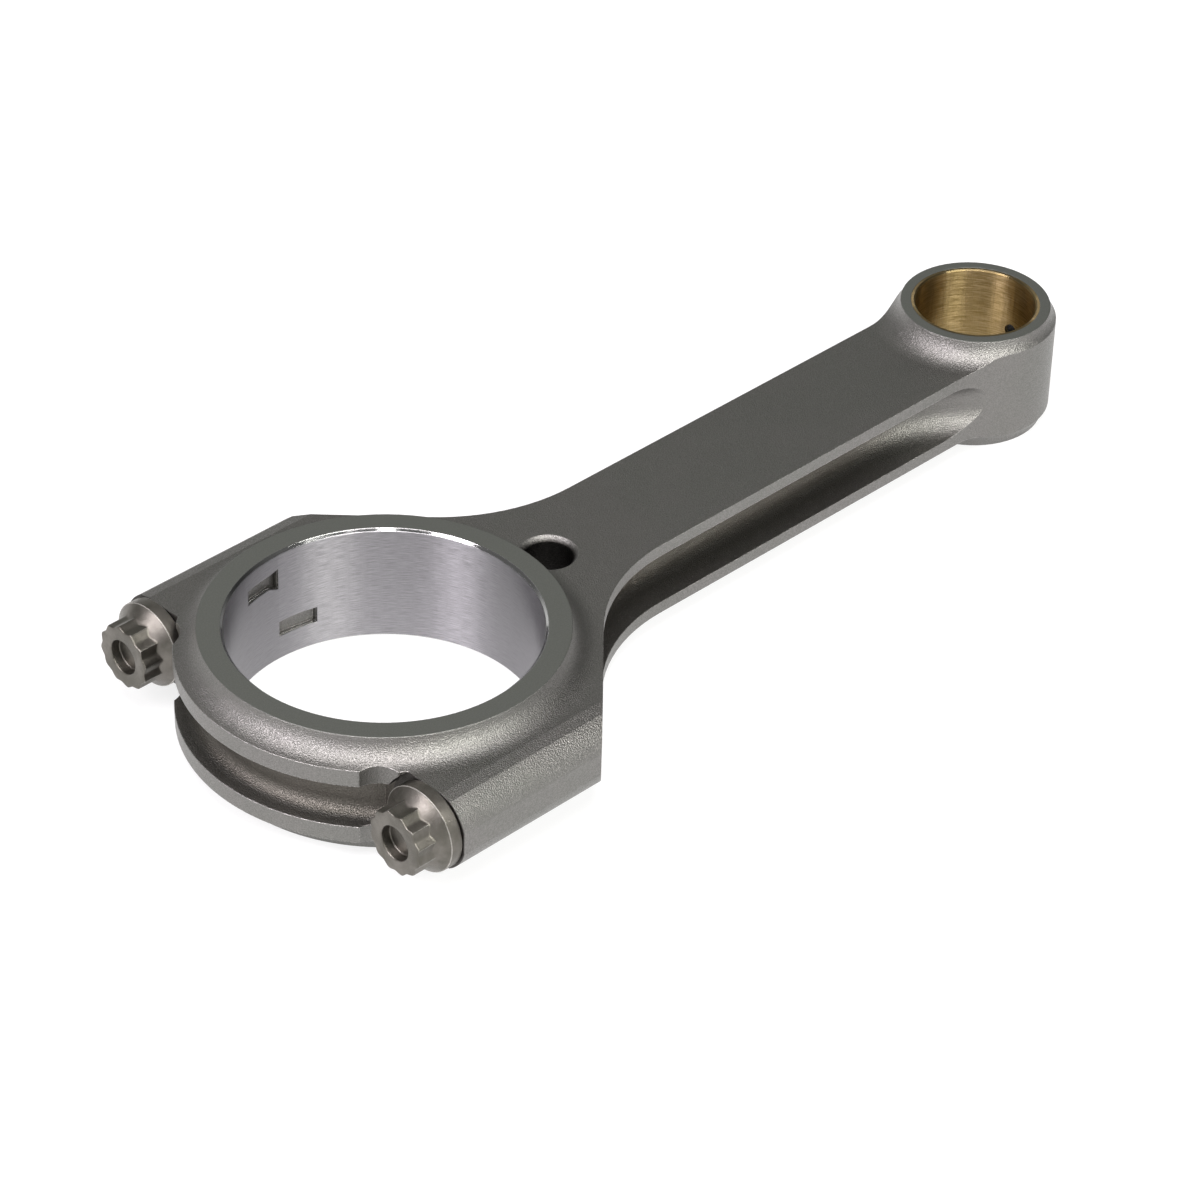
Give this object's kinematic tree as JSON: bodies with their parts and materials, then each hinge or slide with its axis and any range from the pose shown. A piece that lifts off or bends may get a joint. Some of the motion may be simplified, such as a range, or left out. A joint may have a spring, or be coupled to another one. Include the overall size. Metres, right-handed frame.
{
  "type": "connecting rod",
  "caption": "H-section connecting rod with a bolted big-end cap, a bushed small end and dowelled cap screws.",
  "frame": {"origin": "centre of the big-end bore, halfway through its width", "axes": "+X along the beam to the small end, +Y towards the left bolt, +Z along both bores"},
  "size_m": [0.2087, 0.0878, 0.0238],
  "materials": {
    "forged_steel": "shot-peened satin steel, machined bores and thrust faces",
    "bush_bronze": "honed bronze",
    "sleeve_steel": "ground steel",
    "bolt_steel": "heat-treated alloy steel, dark satin"
  },
  "bodies": {
    "rod": {"rod_body": "forged_steel", "pin_bush": "bush_bronze", "dowel_sleeve_left": "sleeve_steel", "dowel_sleeve_right": "sleeve_steel"},
    "cap": {"rod_cap": "forged_steel"},
    "bolt_left": {"cap_bolt_left": "bolt_steel"},
    "bolt_right": {"cap_bolt_right": "bolt_steel"}
  },
  "joints": [
    {"name": "cap_draw", "type": "slide", "parent": "rod", "child": "cap", "axis": [-1, 0, 0], "range_m": [0, 0.00889]},
    {"name": "bolt_left_turn", "type": "hinge", "parent": "cap", "child": "bolt_left", "pos_m": [-0.022, 0.0356, 0], "axis": [-1, 0, 0], "range_deg": [0, 2521]},
    {"name": "bolt_right_turn", "type": "hinge", "parent": "cap", "child": "bolt_right", "pos_m": [-0.022, -0.0356, 0], "axis": [-1, 0, 0], "range_deg": [0, 2521]}
  ],
  "couplings": [
    {"joint": "bolt_left_turn", "follows": "cap_draw", "rad_per_m": 4947.4},
    {"joint": "bolt_right_turn", "follows": "cap_draw", "rad_per_m": 4947.4}
  ]
}
